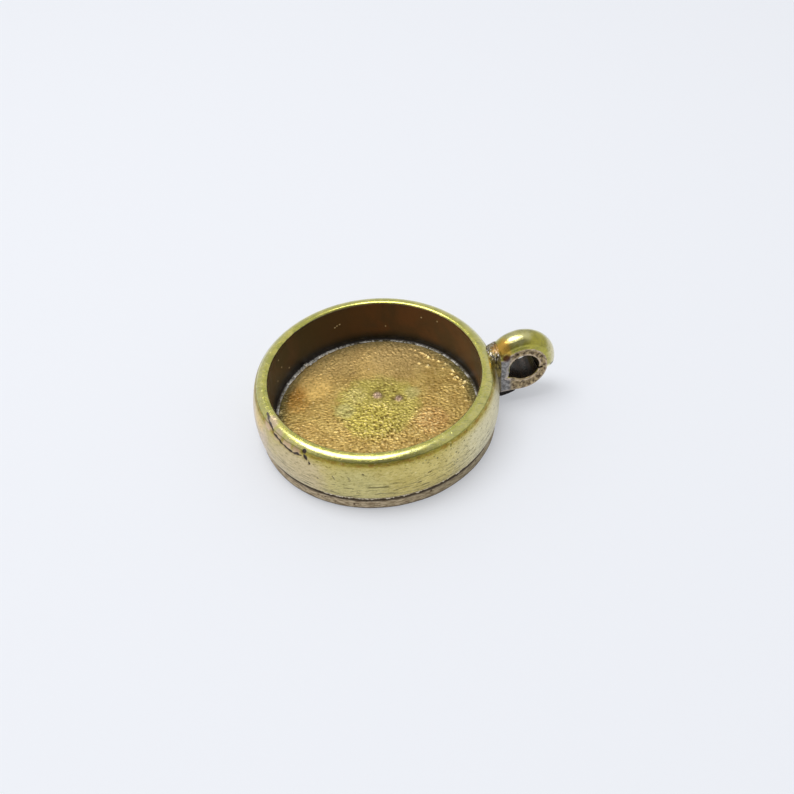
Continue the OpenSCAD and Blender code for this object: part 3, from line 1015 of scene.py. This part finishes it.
shader.inputs["Coat Roughness"].default_value = 0.14
shader.inputs["Coat IOR"].default_value = 1.6
set_bump(shader, noisy(position, 8.0, 4.0, 0.7), 0.015)
bail_loop.data.materials.append(loop_brass)
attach(bail_loop, "root")
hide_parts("bail_loop")

# ---- Root solder ----
# Solder that fills the wedge between the loop's flat root and the bellied band, run out at the sides and
# fire-stained, with bright silver lumps on top.
ROOT_FLARE = 1.1
root_outline = [(x * ROOT_FLARE, ROOT_Y + 0.08, z - 0.05 if z > 3 else z + 0.1) for x, z in neck_outline]
root_solder = new_outline(root_outline)
root_solder.name = "root_solder_lumps"
draw_out((0, -1.0, 0))
for vertex in root_solder.data.vertices:
    if vertex.co.y < 9 and vertex.co.z > 4:
        vertex.co.z -= 0.5

# Below the neck a dark wedge thins out along the loop's underside
under_neck_wedge = rod_along_x(5, 1, 1.8)
under_neck_outline = [(9.0, 1.3), (9.0, 0.7), (9.6, 0.68), (10.8, 1.02), (10.7, 1.3)]
ends = sorted({round(vertex.co.x, 3) for vertex in under_neck_wedge.data.vertices})
for end in ends:
    ring = [vertex for vertex in under_neck_wedge.data.vertices if round(vertex.co.x, 3) == end]
    ring.sort(key=lambda vertex: atan2(vertex.co.z, vertex.co.y))
    for vertex, (y, z) in zip(ring, under_neck_outline):
        vertex.co.y, vertex.co.z = y, z
bpy.context.view_layer.objects.active = under_neck_wedge
edit_all()
close_edit()
combine(root_solder, under_neck_wedge, "UNION")
remesh(root_solder, 0.045, 4)
for vertex in root_solder.data.vertices:
    place = vertex.co.copy()
    lump = 0.04 * noise.noise(place / 0.5) + 0.02 * noise.noise(place / 0.16)
    push = Vector((place.x, 0, 0.6 * (place.z - 3.2))).normalized()
    vertex.co = place + push * lump
finish_mesh(root_solder, 70)

root_metal, tree, shader, position = new_material("stained_root_solder")
height = split(position)[3]
run_down = add(tree, "Mapping", Vector=position, Rotation=(0.35, 0, 0), Scale=(1, 2.4, 0.8)).outputs[0]
colour = tint(cloudy(run_down, 0.35), (0.035, 0.025, 0.008), (0.26, 0.2, 0.06))
silver = times(cloudy(run_down, 0.2, 0.6), ramp(height, 4.5, 4.8))
colour = tint(silver, colour, (0.9, 0.87, 0.82))
orange = stained(position, (0.2, 9.45, 5.3), 0.5, 0.6, 0.4)
colour = tint(times(orange, 0.6), colour, (0.42, 0.22, 0.05))
colour = tint(ramp(height, 3.4, 2.6, 0.0, 0.7), colour, (0.16, 0.14, 0.11))
# Near black at the bottom, over the wedge under the neck
colour = tint(ramp(height, 1.5, 1.2), colour, (0.012, 0.01, 0.008))
tree.links.new(colour, shader.inputs["Base Color"])
shader.inputs["Metallic"].default_value = 0.85
shader.inputs["Roughness"].default_value = 0.42
root_solder.data.materials.append(root_metal)
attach(root_solder, "root")
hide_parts("loop_solder")

# ---- Table and light ----
# A plain white table in an even pale room that is darker behind the camera, with a soft lamp above and a
# white card over the cup.
deselect()
bpy.ops.mesh.primitive_plane_add(size=3, location=(0, 0, -0.00001))
table = bpy.context.object
table.name = "table"
table_white, _, shader, _ = new_material("table_white")
shader.inputs["Base Color"].default_value = (0.53, 0.545, 0.58, 1)
shader.inputs["Roughness"].default_value = 0.8
shader.inputs["Specular IOR Level"].default_value = 0.2
shader.inputs["Emission Color"].default_value = (0.93, 0.95, 1, 1)
shader.inputs["Emission Strength"].default_value = 0.37
table.data.materials.append(table_white)

ROOM, ROOM_DARK_SIDE = 0.69, (0.7, -0.11, 0.7)
CARD, CARD_SHINE = (-0.11, -0.17, 0.98), 0.85
LAMP_PLACE, LAMP_ENERGY = Vector((-0.03, -0.05, 0.25)), 0.3
world = bpy.data.worlds.new("room")
bpy.context.scene.world = world
world.use_nodes = True
tree = world.node_tree


def toward(direction):
    """How nearly a ray's direction matches the given one, as a cosine."""
    way = add(tree, "TexCoord").outputs["Generated"]
    match = add(tree, "VectorMath", {"operation": "DOT_PRODUCT"}, Vector=way)
    match.inputs[1].default_value = direction
    return match.outputs["Value"]


shade = ramp(toward(ROOM_DARK_SIDE), 0.6, 0.97, 1.0, 0.35)
room_light = times(shade, ROOM)
# The card shows only as the sheen on polished metal
card_shine = ramp(toward(CARD), 0.86, 0.95, 0.0, CARD_SHINE)
card_shine = times(card_shine, add(tree, "LightPath").outputs["Is Glossy Ray"])
tree.links.new(compute("ADD", room_light, card_shine), tree.nodes["Background"].inputs["Strength"])
tree.nodes["Background"].inputs["Color"].default_value = (1, 1, 1, 1)

lamp_data = bpy.data.lights.new("soft_light", "AREA")
lamp_data.shape = "RECTANGLE"
lamp_data.size = 0.12
lamp_data.size_y = 0.18
lamp_data.energy = LAMP_ENERGY
lamp = bpy.data.objects.new("soft_light", lamp_data)
bpy.context.scene.collection.objects.link(lamp)
lamp.location = LAMP_PLACE
lamp.rotation_euler = LAMP_PLACE.to_track_quat("Z", "Y").to_euler()
bpy.context.scene.view_settings.view_transform = "Standard"
